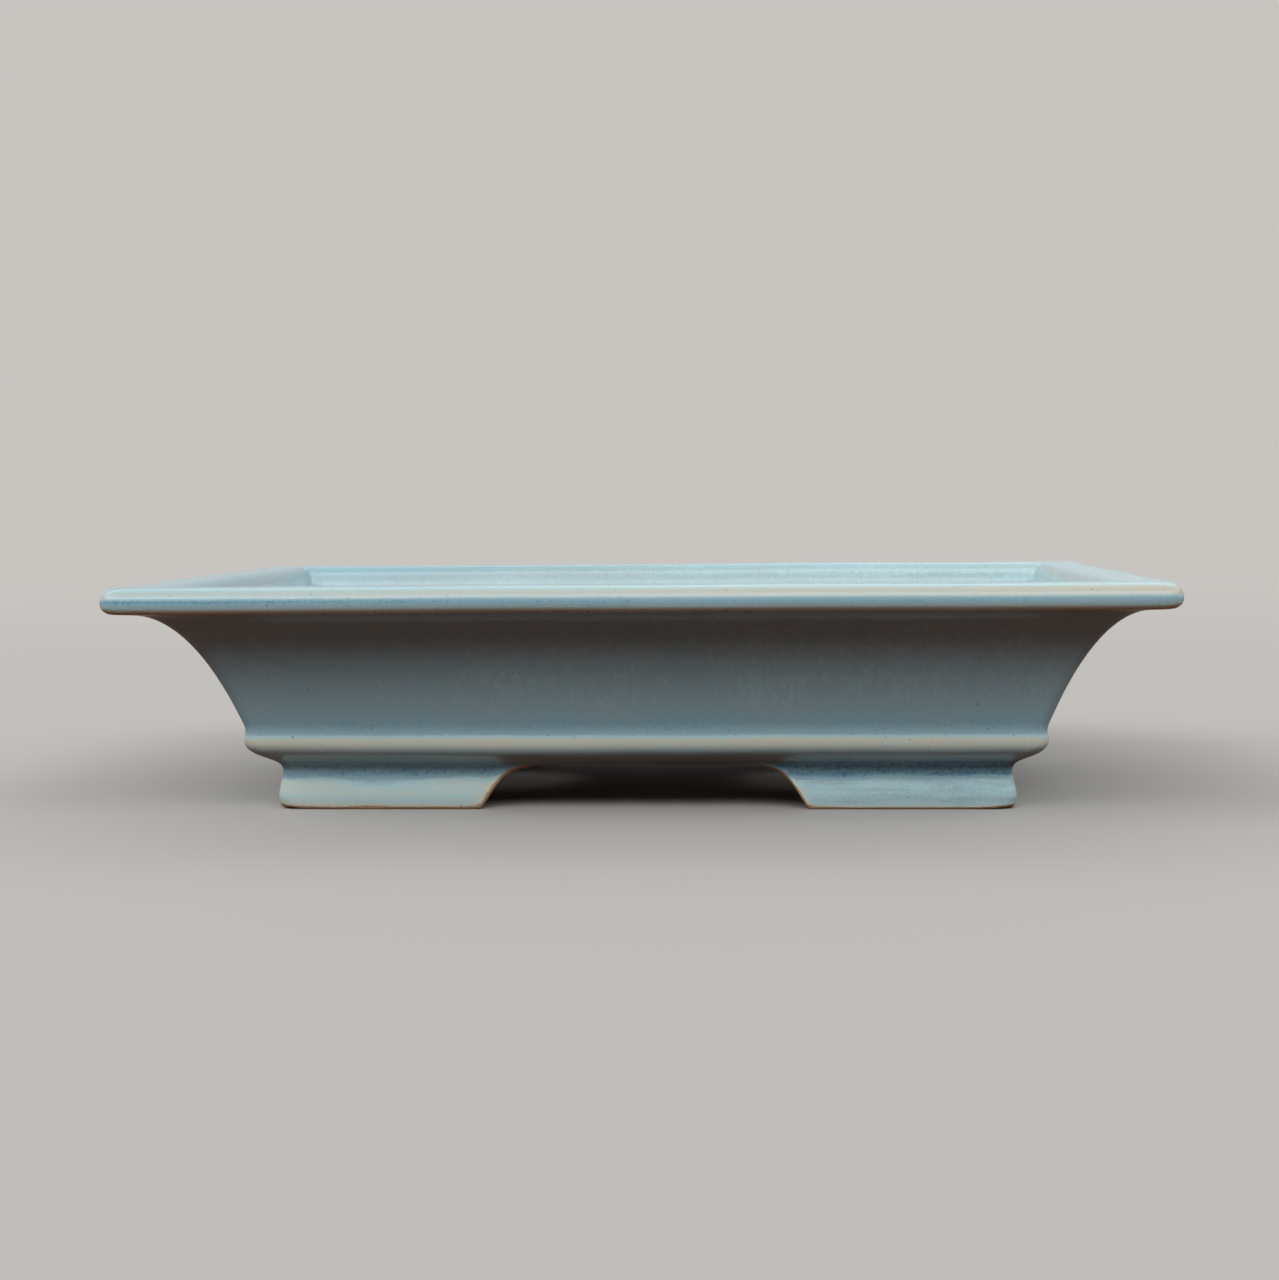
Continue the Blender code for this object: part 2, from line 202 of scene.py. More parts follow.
def lip_face():
    """Round the lip, from its underside over the top and down to the inner wall."""
    edge_centre = (LIP_OUT - LIP_EDGE_ROUND, LIP_UNDER + LIP_EDGE_ROUND)
    crown_centre = (LIP_OUT - LIP_TOP_ROUND, HEIGHT - LIP_TOP_ROUND)
    inner_centre = (OPENING_OUT + LIP_TOP_ROUND, HEIGHT - LIP_TOP_ROUND)
    under = np.linspace((COVE[3][0] * MM, LIP_UNDER), (edge_centre[0], LIP_UNDER), 4)
    top = np.linspace((crown_centre[0], HEIGHT), (inner_centre[0], HEIGHT), 7)
    inner_radii = (INNER_CORNER + LIP_TOP_ROUND, INNER_CORNER)
    # These depths also carry painted light beside glaze thickness. The pale thin band on the crown's outer rounding
    # sits where the highlight falls, and the deeper blue of the lip's face below it is partly painted shade.
    return chain(
        (under, (BODY_CORNER, LIP_CORNER), (0.50, 0.44, 0.14)),
        (arc(edge_centre, LIP_EDGE_ROUND, -90, 0, 10), (LIP_CORNER, LIP_CORNER), (0.08, 0.06, 0.13, 0.34, 0.68)),
        (arc(crown_centre, LIP_TOP_ROUND, 0, 90, 10), (LIP_CORNER, LIP_CORNER), (0.66, 0.27, 0.20, 0.24, 0.34, 0.44, 0.50)),
        (top, (LIP_CORNER, inner_radii[0]), (0.50, 0.46, 0.45, 0.46)),
        (arc(inner_centre, LIP_TOP_ROUND, 90, 160, 8), inner_radii, (0.46, 0.49, 0.49)),
        (cubic(SHOULDER, 7), (INNER_CORNER, INNER_CORNER), (0.49, 0.49)),
    )


def inner_face():
    return chain((cubic(INNER_WALL, 22), (INNER_CORNER, FLOOR_CORNER), (0.49, 0.46, 0.34, 0.04, 0.04, 0.04)))


def hand_made(points):
    """The small unevenness of a pot made by hand, fading out at the soles."""
    flat = points.reshape(-1, 3)
    moved = flat.copy()
    for i, point in enumerate(flat):
        grip = min(1.0, point[2] / (20 * MM))
        drift = noise.noise_vector(Vector(point) * 11.0)
        ripple = noise.noise_vector(Vector(point) * 45.0 + Vector((7, 3, 1)))
        moved[i] += np.array(drift) * 0.45 * MM * grip + np.array(ripple) * 0.07 * MM * grip
    return moved.reshape(points.shape)


def rubbed_corners(points):
    """Lifts the lowest part of each foot's outer corner, where it is rubbed round."""
    flat = points.reshape(-1, 3).copy()
    reach = FOOT_FACE[0][0] * MM
    away = np.hypot(np.abs(flat[:, 0]) - reach, np.abs(flat[:, 1]) - (reach - NARROWER))
    low = np.clip(1 - flat[:, 2] / (6 * MM), 0, 1)
    flat[:, 2] += CORNER_LIFT * np.exp(-((away / (7 * MM)) ** 2)) * low
    return flat.reshape(points.shape)


# ------------------------------------------------------------------ meshes

def grid_mesh(name, points, close_rows):
    """A mesh over rows and columns of points. Columns go right round."""
    rows, columns = points.shape[:2]
    index = np.arange(rows * columns).reshape(rows, columns)
    below = index if close_rows else index[:-1]
    above = np.roll(index, -1, axis=0) if close_rows else index[1:]
    quads = np.stack((below, np.roll(below, -1, axis=1), np.roll(above, -1, axis=1), above), axis=2)
    mesh = bpy.data.meshes.new(name)
    mesh.from_pydata(points.reshape(-1, 3).tolist(), [], quads.reshape(-1, 4).tolist())
    mesh.validate()
    return mesh


def add_piece(name, mesh, material, sharp=40):
    """Puts a mesh in the scene, smooth but for edges sharper than an angle in degrees."""
    obj = bpy.data.objects.new(name, mesh)
    bpy.context.scene.collection.objects.link(obj)
    mesh.materials.clear()
    mesh.materials.append(material)
    mesh.shade_smooth()
    mesh.set_sharp_from_angle(angle=math.radians(sharp))
    return obj


def face_outwards(mesh):
    bm = bmesh.new()
    bm.from_mesh(mesh)
    bmesh.ops.recalc_face_normals(bm, faces=bm.faces)
    bm.to_mesh(mesh)
    bm.free()


def apply_modifiers(obj):
    evaluated = obj.evaluated_get(bpy.context.evaluated_depsgraph_get())
    mesh = bpy.data.meshes.new_from_object(evaluated)
    obj.modifiers.clear()
    obj.data = mesh


def boolean(obj, cutters, operation):
    for cutter in cutters:
        modifier = obj.modifiers.new("cut", "BOOLEAN")
        modifier.operation = operation
        modifier.object = cutter
    apply_modifiers(obj)
    for cutter in cutters:
        bpy.data.objects.remove(cutter)


def prism(name, profile, axis):
    """A long bar with a closed profile of (across, height) points, along X or Y."""
    bm = bmesh.new()
    ends = []
    for end in (-0.3, 0.3):
        points = [(end, a, z) if axis == "X" else (a, end, z) for a, z in profile]
        ends.append([bm.verts.new(point) for point in points])
    near, far = ends
    for i in range(len(near)):
        bm.faces.new((near[i - 1], near[i], far[i], far[i - 1]))
    bm.faces.new(near)
    bm.faces.new(far)
    bmesh.ops.recalc_face_normals(bm, faces=bm.faces)
    mesh = bpy.data.meshes.new(name)
    bm.to_mesh(mesh)
    bm.free()
    obj = bpy.data.objects.new(name, mesh)
    bpy.context.scene.collection.objects.link(obj)
    return obj


def arch(half_width, axis, spread=0.0, uneven=0.0):
    """The tunnel between two feet. spread widens it all round, and uneven makes its sides wander."""
    side = cubic(ARCH_SIDE, 24)
    side[:, 0] += half_width + spread
    side[:, 1] *= (ARCH_TOP + spread) / ARCH_TOP
    low = np.array([[side[0, 0] + 2 * MM, -4 * MM]])
    profile = []
    for sign in (1, -1):
        wander = [uneven * noise.noise(Vector((half_width * 900 + sign * 9, z * 260, 0))) for z in side[:, 1]]
        half = np.vstack((low, side + np.stack((wander, np.zeros(len(side))), axis=1)))
        half = np.vstack((half, (half[-1, 0], FOOT_TOP + 0.3 * spread)))
        half[:, 0] *= sign
        profile += list(map(tuple, half if sign == 1 else half[::-1]))
    return prism("arch", profile, axis)


def lathe(name, profile, place, steps):
    """A turned solid from (radius, height) points, standing at a place."""
    bm = bmesh.new()
    loops = []
    for radius, height in profile:
        turns = [2 * math.pi * i / steps for i in range(steps)]
        loops.append([bm.verts.new((radius * math.cos(a), radius * math.sin(a), height)) for a in turns])
    for near, far in zip(loops, loops[1:]):
        for i in range(steps):
            bm.faces.new((near[i - 1], near[i], far[i], far[i - 1]))
    bm.faces.new(loops[0])
    bm.faces.new(loops[-1])
    bmesh.ops.recalc_face_normals(bm, faces=bm.faces)
    mesh = bpy.data.meshes.new(name)
    bm.to_mesh(mesh)
    bm.free()
    obj = bpy.data.objects.new(name, mesh)
    obj.location = place
    bpy.context.scene.collection.objects.link(obj)
    return obj


# ------------------------------------------------------------------ materials

class Shader:
    """A material's node tree, with short calls to add to it."""

    def __init__(self, name):
        self.material = bpy.data.materials.new(name)
        self.material.use_nodes = True
        self.tree = self.material.node_tree
        self.surface = self.tree.nodes["Principled BSDF"]
        self.place = self.add("ShaderNodeTexCoord").outputs["Object"]

    def add(self, kind, settings=None, **inputs):
        """A node. Inputs are named with _ for a space, or given as in_0, in_1 for a number."""
        node = self.tree.nodes.new(kind)
        for key, value in (settings or {}).items():
            setattr(node, key, value)
        for key, value in inputs.items():
            socket = node.inputs[int(key[3:])] if key.startswith("in_") else node.inputs[key.replace("_", " ")]
            self.feed(socket, value)
        return node

    def feed(self, socket, value):
        if isinstance(value, bpy.types.NodeSocket):
            self.tree.links.new(value, socket)
        elif isinstance(value, tuple) and len(value) == 3 and socket.type == "RGBA":
            socket.default_value = (*value, 1.0)
        else:
            socket.default_value = value

    def noise(self, scale, detail=3.0, roughness=0.55, stretch=None):
        vector = self.place
        if stretch:
            vector = self.add("ShaderNodeMapping", Vector=vector, Scale=stretch).outputs[0]
        node = self.add("ShaderNodeTexNoise", Vector=vector, Scale=scale, Detail=detail, Roughness=roughness)
        return node.outputs["Fac"]

    def math(self, operation, first, second=0.0):
        return self.add("ShaderNodeMath", {"operation": operation}, in_0=first, in_1=second).outputs[0]

    def spread(self, value, low, high, to_low=0.0, to_high=1.0):
        """Maps low..high smoothly onto to_low..to_high."""
        node = self.add("ShaderNodeMapRange", {"interpolation_type": "SMOOTHSTEP"}, Value=value)
        for key, number in (("From Min", low), ("From Max", high), ("To Min", to_low), ("To Max", to_high)):
            node.inputs[key].default_value = number
        return node.outputs[0]

    def mix(self, share, first, second):
        node = self.add("ShaderNodeMix", {"data_type": "RGBA"}, in_0=share)
        self.feed(node.inputs[6], first)
        self.feed(node.inputs[7], second)
        return node.outputs[2]

    def ramp(self, value, stops):
        node = self.add("ShaderNodeValToRGB", Fac=value)
        band = node.color_ramp
        while len(band.elements) < len(stops):
            band.elements.new(0.5)
        for element, (position, colour) in zip(band.elements, stops):
            element.position = position
            element.color = (*colour, 1.0)
        return node.outputs["Color"]

    def specks(self, scale, radius, share):
        """Round dots in a share of the cells of a grid, as 1 inside and 0 outside."""
        cells = self.add("ShaderNodeTexVoronoi", Vector=self.place, Scale=scale)
        chance = self.add("ShaderNodeSeparateColor", Color=cells.outputs["Color"]).outputs
        size = self.spread(chance[1], 0.0, 1.0, radius * 0.45, radius)
        near = self.math("LESS_THAN", cells.outputs["Distance"], size)
        chosen = self.math("LESS_THAN", chance[0], share)
        return self.math("MULTIPLY", near, chosen)

    def bump(self, height, strength, distance, below=None):
        node = self.add("ShaderNodeBump", Height=height, Strength=strength, Distance=distance)
        if below is not None:
            self.feed(node.inputs["Normal"], below)
        return node.outputs[0]

    def finish(self, **inputs):
        for key, value in inputs.items():
            self.feed(self.surface.inputs[key.replace("_", " ")], value)
        return self.material


def glaze_material():
    """Opaque sky-blue glaze: cream where it breaks thin over edges, deeper blue where it pools. The depth attribute
    also carries painted shade and highlight, a grey band painted on the crown dims its highlight, and pale dots are
    painted glints.
    """
    s = Shader("sky_blue_glaze")
    depth_and_shade = s.add("ShaderNodeAttribute", {"attribute_name": "glaze_depth_and_shade"}).outputs["Fac"]
    cloud = s.math("SUBTRACT", s.noise(30.0, 4.0), 0.5)
    curdle = s.math("SUBTRACT", s.noise(760.0, 4.0, 0.65), 0.5)
    height = s.add("ShaderNodeSeparateXYZ", Vector=s.place).outputs["Z"]
    above_feet = s.spread(height, 12 * MM, 19 * MM)
    run = s.noise(420.0, 3.0, 0.5, (1.0, 1.0, 0.13))
    drag = s.noise(620.0, 4.0, 0.55, (0.11, 0.11, 1.0))
    streak = s.add("ShaderNodeMix", in_0=above_feet, in_2=drag, in_3=run).outputs[0]
    on_lip = s.spread(height, LIP_FOOT, LIP_UNDER)
    strength = s.math("SUBTRACT", s.spread(above_feet, 0.0, 1.0, 0.32, 0.16), s.math("MULTIPLY", on_lip, 0.12))
    streak = s.math("MULTIPLY", s.math("SUBTRACT", streak, 0.5), strength)
    uneven = s.math("ADD", s.math("MULTIPLY", cloud, 0.14), s.math("MULTIPLY", curdle, 0.24))
    level = s.math("ADD", depth_and_shade, s.math("ADD", uneven, streak))
    colour = s.ramp(level, (
        (0.00, (0.46, 0.34, 0.22)),
        (0.12, (0.67, 0.665, 0.545)),
        (0.24, (0.575, 0.690, 0.650)),
        (0.38, (0.46, 0.69, 0.74)),
        (0.54, (0.345, 0.500, 0.555)),
        (0.63, (0.310, 0.530, 0.625)),
        (0.77, (0.200, 0.380, 0.485)),
        (1.00, (0.075, 0.16, 0.26)),
    ))
    pooled = s.spread(depth_and_shade, 0.56, 0.84)
    flecks = s.spread(s.noise(760.0, 2.0, 0.6), 0.52, 0.68)
    colour = s.mix(s.math("MULTIPLY", s.math("MULTIPLY", pooled, flecks), 0.5), colour, (0.06, 0.15, 0.27))
    # Painted shade: a grey band on the lip's rounding dims the highlight that the light puts there. It lies between
    # about 4 and 1 mm below the top, where the glaze is thin, and is up to about two fifths strong.
    crown_painted_shade = s.math("MULTIPLY", s.spread(height, HEIGHT - 4.4 * MM, HEIGHT - 3.2 * MM),
                   s.spread(height, HEIGHT - 1.2 * MM, HEIGHT + 0.2 * MM, 0.42, 0.0))
    crown_painted_shade = s.math("MULTIPLY", crown_painted_shade, s.spread(depth_and_shade, 0.36, 0.46, 1.0, 0.0))
    colour = s.mix(crown_painted_shade, colour, (0.40, 0.41, 0.37))
    dark = s.specks(330.0, 0.11, 0.34)
    blot = s.specks(120.0, 0.07, 0.24)
    # The pale dots are painted glints, as of light caught in pinholes of the glaze.
    pale_glints = s.specks(260.0, 0.09, 0.25)
    colour = s.mix(s.math("MULTIPLY", dark, 0.60), colour, (0.10, 0.12, 0.12))
    colour = s.mix(s.math("MULTIPLY", blot, 0.70), colour, (0.09, 0.075, 0.05))
    colour = s.mix(s.math("MULTIPLY", pale_glints, 0.30), colour, (0.62, 0.66, 0.60))
    swell = s.bump(s.noise(130.0, 2.0), 0.20, 0.25 * MM)
    peel = s.bump(s.noise(900.0, 2.0), 0.14, 0.05 * MM, swell)
    pits = s.bump(s.math("ADD", blot, s.specks(210.0, 0.07, 0.12)), 0.5, -0.12 * MM, peel)
    rough = s.spread(s.noise(300.0, 3.0), 0.3, 0.75, 0.12, 0.26)
    rough = s.math("ADD", rough, s.math("MULTIPLY", dark, 0.25))
    return s.finish(Base_Color=colour, Roughness=rough, Normal=pits, IOR=1.50)


def clay_material(name, tint=1.0):
    """Buff stoneware, gritty and matt, flashed a little redder in places."""
    s = Shader(name)
    flash = s.spread(s.noise(22.0, 4.0), 0.35, 0.7)
    grain = s.noise(1400.0, 3.0, 0.7)
    colour = s.mix(flash, (0.58 * tint, 0.385 * tint, 0.215 * tint), (0.47 * tint, 0.265 * tint, 0.13 * tint))
    colour = s.mix(s.spread(grain, 0.35, 0.75, 0.0, 0.45), colour, (0.72 * tint, 0.55 * tint, 0.37 * tint))
    grit = s.specks(520.0, 0.22, 0.22)
    iron = s.specks(230.0, 0.12, 0.20)
    colour = s.mix(s.math("MULTIPLY", grit, 0.35), colour, (0.60, 0.50, 0.38))
    colour = s.mix(s.math("MULTIPLY", iron, 0.75), colour, (0.07, 0.035, 0.02))
    drag = s.bump(s.noise(240.0, 3.0, 0.6, (1.0, 0.25, 1.0)), 0.35, 0.25 * MM)
    rough_skin = s.bump(grain, 0.5, 0.12 * MM, drag)
    grits = s.bump(grit, 0.4, 0.15 * MM, rough_skin)
    return s.finish(Base_Color=colour, Roughness=0.88, Normal=grits)


def plastic_material():
    s = Shader("black_net_plastic")
    dust = s.spread(s.noise(180.0, 4.0), 0.45, 0.8, 0.0, 0.35)
    colour = s.mix(dust, (0.018, 0.019, 0.018), (0.10, 0.09, 0.075))
    rough = s.spread(s.noise(500.0), 0.3, 0.7, 0.38, 0.62)
    return s.finish(Base_Color=colour, Roughness=rough, Normal=s.bump(s.noise(1500.0), 0.2, 0.05 * MM))


def wire_material():
    s = Shader("dull_aluminium_wire")
    drawn = s.noise(900.0, 3.0, 0.6, (0.15, 1.0, 1.0))
    colour = s.mix(s.spread(drawn, 0.35, 0.7), (0.62, 0.60, 0.56), (0.46, 0.44, 0.41))
    rough = s.spread(drawn, 0.3, 0.7, 0.28, 0.48)
    return s.finish(Base_Color=colour, Roughness=rough, Metallic=1.0, Normal=s.bump(drawn, 0.15, 0.03 * MM))


# ------------------------------------------------------------------ ceramic pieces

def keep_half(mesh, normal, distance):
    """Cuts a mesh on a plane, keeps the side behind it and closes the cut."""
    bm = bmesh.new()
    bm.from_mesh(mesh)
    geometry = list(bm.verts) + list(bm.edges) + list(bm.faces)
    cut = bmesh.ops.bisect_plane(
        bm, geom=geometry, plane_co=Vector(normal) * distance, plane_no=normal, clear_outer=True
    )
    edges = [item for item in cut["geom_cut"] if isinstance(item, bmesh.types.BMEdge)]
    bmesh.ops.holes_fill(bm, edges=edges)
    bmesh.ops.recalc_face_normals(bm, faces=bm.faces)
    bm.to_mesh(mesh)
    bm.free()


def mitred(prefix, rows, material):
    """A closed section right round the pot, cut into its four slabs on the corners' mitres."""
    ring = grid_mesh(prefix, hand_made(ring_points(rows)), close_rows=True)
    face_outwards(ring)
    slope = math.sqrt(0.5)
    apex = NARROWER * slope
    planes = {
        "front": (((slope, slope, 0), apex), ((-slope, slope, 0), apex)),
        "back": (((slope, -slope, 0), apex), ((-slope, -slope, 0), apex)),
        "right": (((-slope, -slope, 0), -apex), ((-slope, slope, 0), -apex)),
        "left": (((slope, slope, 0), -apex), ((slope, -slope, 0), -apex)),
    }
    for side, cuts in planes.items():
        mesh = ring.copy()
        mesh.name = f"{prefix}_{side}"
        for normal, distance in cuts:
            keep_half(mesh, normal, distance)
        piece = add_piece(f"clay_{prefix}_{side}", mesh, material)
        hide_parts(f"{prefix}_{side}")
        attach(piece, "root")


def split_at(rows, height):
    """A rising section cut in two at a height: the rows below it and those above, both with the cut."""
    order = rows[:, 1]
    cut = np.array([[np.interp(height, order, column) for column in rows.T]])
    return np.vstack((rows[order < height], cut)), np.vstack((cut, rows[order > height]))


def build_walls_and_lip(clay):
    below, above = split_at(outer_face(), LIP_FOOT)
    _, wall_outer = split_at(below, BODY_FOOT)
    inner_above, inner_below = (part[::-1] for part in split_at(inner_face()[::-1], LIP_FOOT)[::-1])
    mitred("wall", np.vstack((wall_outer, inner_below)), clay)
    mitred("rim", np.vstack((above, lip_face()[1:], inner_above[1:])), clay)


def hole(radius, x, y, steps):
    """A cutter for a hole in the floor whose rims are rounded over."""
    ease = 0.9 * MM
    low, high = FOOT_TOP, FLOOR_TOP
    under = arc((radius + ease, low + ease), ease, 270, 180, 4)
    over = arc((radius + ease, high - ease), ease, 180, 90, 4)
    profile = [(radius + ease, low - 3 * MM), *under, *over, (radius + ease, high + 3 * MM)]
    return lathe("hole", profile, (x, y, 0), steps)


def build_floor(clay):
    _, above = split_at(outer_face(), FOOT_TOP)
    bead, _ = split_at(above, BODY_FOOT)
    fillet = chain((cubic(FLOOR_FILLET, 8), (FLOOR_CORNER, FLOOR_CORNER), (0, 0)))
    edge = bead[0].copy()
    edge[0] -= 0.5 * MM
    bead[0, 1] += 0.2 * MM
    rows = np.vstack((edge, bead, fillet))
    points = hand_made(ring_points(rows))
    points[0, :, 2] = FOOT_TOP
    points[-1, :, 2] = FLOOR_TOP
    mesh = grid_mesh("base_plate", points, close_rows=False)
    columns, last = len(COLUMN_X), (len(rows) - 1) * len(COLUMN_X)
    bm = bmesh.new()
    bm.from_mesh(mesh)
    bm.verts.ensure_lookup_table()
    bm.faces.new([bm.verts[i] for i in range(columns)])
    bm.faces.new([bm.verts[last + i] for i in range(columns)])
    bmesh.ops.recalc_face_normals(bm, faces=bm.faces)
    bm.to_mesh(mesh)
    bm.free()
    plate = add_piece("clay_base_plate", mesh, clay)
    holes = [hole(DRAIN_HOLE_RADIUS, sx * DRAIN_HOLE_X, 0, 72) for sx in (-1, 1)]
    holes += [hole(WIRE_HOLE_RADIUS, sx * WIRE_HOLE_X, sy * WIRE_HOLE_Y, 28) for sx in (-1, 1) for sy in (-1, 1)]
    boolean(plate, holes, "DIFFERENCE")
    plate.data.shade_smooth()
    plate.data.set_sharp_from_angle(angle=math.radians(40))
    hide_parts("base_plate")
    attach(plate, "root")


def build_feet(clay):
    face, _ = split_at(outer_face(), FOOT_TOP)
    height = FOOT_TOP + 0.2 * MM
    foot_top = np.array([[face[-1, 0] - 0.4 * MM, height, BODY_CORNER, 0]])
    inner = np.array([[FOOT_INNER_OUT, z, INNER_CORNER, 0] for z in (height, 0)])
    sole = np.array([[face[0, 0] - 0.1 * MM, 0, SOLE_CORNER, 0]])
    rows = np.vstack((sole, face[:-1], foot_top, inner))
    ring = grid_mesh("feet", ring_points(rows), close_rows=True)
    face_outwards(ring)
    for end, sy in (("front", -1), ("back", 1)):
        for side, sx in (("left", -1), ("right", 1)):
            name = f"foot_{end}_{side}"
            foot = add_piece("clay_" + name, ring.copy(), clay)
            mesh = foot.data
            keep_half(mesh, (-sx, 0, 0), 0.0)
            keep_half(mesh, (0, -sy, 0), 0.0)
            boolean(foot, [arch(FRONT_ARCH, "Y"), arch(SIDE_ARCH, "X")], "DIFFERENCE")
            soften_foot(foot)
            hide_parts(name)
            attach(foot, "root")


def soften_foot(foot):
    """Rounds the foot's edges as a wet sponge does, and keeps its sole flat on the ground."""
    remesh = foot.modifiers.new("remesh", "REMESH")
    remesh.mode = "VOXEL"
    remesh.voxel_size = 0.62 * MM
    soften = foot.modifiers.new("soften", "SMOOTH")
    soften.factor = 0.5
    soften.iterations = 5
    apply_modifiers(foot)
    points = np.empty(len(foot.data.vertices) * 3)
    foot.data.vertices.foreach_get("co", points)
    points = rubbed_corners(hand_made(points.reshape(-1, 3)))
    points[:, 2] = np.maximum(points[:, 2], 0.0)
    foot.data.vertices.foreach_set("co", points.ravel())
    foot.data.update()
    foot.data.shade_smooth()


# ------------------------------------------------------------------ the glaze coat

def coat_rows():
    """The clay's outer section as far as the glaze covers it, from the soles over the lip to the inside."""
    inner = inner_face()
    inner = inner[inner[:, 1] > GLAZE_LINE_INSIDE - 2 * MM]
    return np.vstack((outer_face(), lip_face()[1:], inner[1:]))


def coat_surface(rows):
    """The glaze's own section: thin over edges, thick in hollows, and eased as a melt is."""
    thickness = THIN_GLAZE + (DEEP_GLAZE - THIN_GLAZE) * rows[:, 3]
    surface = offset_rows(rows, thickness)
    for _ in range(4):
        surface[1:-1, :2] = (surface[:-2, :2] + 2 * surface[1:-1, :2] + surface[2:, :2]) / 4
    normals = section_normals(rows)
    lie = np.sum((surface[:, :2] - rows[:, :2]) * normals, axis=1)
    surface[:, :2] += normals * (np.maximum(lie, THIN_GLAZE) - lie)[:, None]
    return surface


def wandering_ends(points, rows):
    """Slides both ends of the coat along the clay, so that its edges wander as a wiped or brushed line does."""
    inside = np.arange(len(rows)) > len(rows) - 13
    reach = np.clip((72 * MM - rows[:, 1]) / (72 * MM - GLAZE_LINE_INSIDE), 0, 1) * inside
    near_sole = np.clip(1 - (rows[:, 1] - rows[0, 1]) / (6 * MM), 0, 1) * ~inside
    slope = np.gradient(rows[:, 0]) / np.where(inside, np.gradient(rows[:, 1]), 1) * inside
    for column, turn in enumerate(COLUMN_TURN):
        x, y = points[0, column, :2]
        line = noise.noise(Vector((x * 45, y * 45, 0))) + 0.5 * noise.noise(Vector((x * 110, y * 110, 5)))
        inner_line = noise.noise(Vector((x * 16, y * 16, 3))) + 0.4 * noise.noise(Vector((x * 70, y * 70, 8)))
        shift = near_sole * (0.3 * MM * line + GLAZE_LINE_FOOT - rows[0, 1]) + reach * 2.4 * MM * inner_line
        normal = np.array((math.cos(turn), math.sin(turn)))
        points[:, column, 2] += shift
        points[:, column, :2] += (shift * slope)[:, None] * normal
    return points


def build_coat(glaze):
    rows = coat_rows()
    surface = coat_surface(rows)
    bed = offset_rows(rows, np.full(len(rows), -BEDDED))
    faces = [rubbed_corners(hand_made(wandering_ends(ring_points(r), rows))) for r in (surface, bed)]
    mesh = grid_mesh("glaze_coat", np.concatenate((faces[0], faces[1][::-1])), close_rows=True)
    face_outwards(mesh)
    coat = add_piece("glaze_coat", mesh, glaze)
    cutters = [
        arch(FRONT_ARCH, "Y", BARE_EDGE, 0.5 * MM),
        arch(SIDE_ARCH, "X", BARE_EDGE, 0.5 * MM),
    ]
    boolean(coat, cutters, "DIFFERENCE")
    paint_depth_and_shade(coat.data, surface)
    coat.data.shade_smooth()
    coat.data.set_sharp_from_angle(angle=math.radians(50))
    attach(coat, "root")


def paint_depth_and_shade(mesh, section):
    """Stores how thick the glaze lies at each vertex, from the nearest point of the section. The values also carry
    painted shade and highlight, and painted light that differs from side to side.
    """
    along = np.concatenate(([0], np.cumsum(np.linalg.norm(np.diff(section[:, :2], axis=0), axis=1))))
    fine = np.arange(0, along[-1], 0.25 * MM)
    run_out, run_height, depth_and_shade = (np.interp(fine, along, section[:, i]) for i in (0, 1, 3))
    points = np.empty(len(mesh.vertices) * 3)
    mesh.vertices.foreach_get("co", points)
    points = points.reshape(-1, 3)
    out = np.maximum(np.abs(points[:, 0]), np.abs(points[:, 1]) + NARROWER)
    # The deep band at the foot's top, partly painted shadow of the bead, meets the pale foot below along a
    # wandering line, as a pooled glaze line runs.
    sag = np.array([noise.noise(Vector((x * 40, y * 40, z * 120))) for x, y, z in points])
    on_foot = np.clip(1 - np.abs(points[:, 2] - 8 * MM) / (6 * MM), 0, 1)
    height = points[:, 2] + 3.5 * MM * sag * on_foot
    values = np.empty(len(points))
    for start in range(0, len(points), 4000):
        some = slice(start, start + 4000)
        away = (out[some, None] - run_out) ** 2 + (height[some, None] - run_height) ** 2
        values[some] = depth_and_shade[away.argmin(axis=1)]
    # Painted light: on the right side the feet are made deeper blue and the lip's top paler, and on the left side
    # the other way, as the light and its reflections fall unevenly from side to side.
    painted_side_light = points[:, 0] / LIP_OUT
    values += 0.13 * painted_side_light * (points[:, 2] < FOOT_TOP + 2 * MM) - 0.10 * painted_side_light * (points[:, 2] > LIP_UNDER + 4 * MM)
    values -= 0.28 * np.exp(-((arch_distance(points) - BARE_EDGE) / (1.1 * MM)).clip(0, 9))
    attribute = mesh.attributes.new("glaze_depth_and_shade", "FLOAT", "POINT")
    attribute.data.foreach_set("value", values)


def arch_distance(points):
    """How far each point of the feet is from the side of the nearest cut-out."""
    side = cubic(ARCH_SIDE, 40)
    across_front = np.abs(points[:, 1]) + NARROWER > np.abs(points[:, 0])
    across = np.where(across_front, np.abs(points[:, 0]) - FRONT_ARCH, np.abs(points[:, 1]) - SIDE_ARCH)
    away = np.full(len(points), 1.0)
    low = np.flatnonzero(points[:, 2] < FOOT_TOP + 3 * MM)
    for start in range(0, len(low), 4000):
        some = low[start : start + 4000]
        gap = (across[some, None] - side[:, 0]) ** 2 + (points[some, 2, None] - side[:, 1]) ** 2
        away[some] = np.sqrt(gap.min(axis=1))
    return away


# ------------------------------------------------------------------ drain screens and clips

SCREEN_PITCH, SCREEN_CELLS, SCREEN_STRAND, SCREEN_BORDER = 4.0 * MM, 9, 1.1 * MM, 2.0 * MM
WIRE_RADIUS = 0.75 * MM


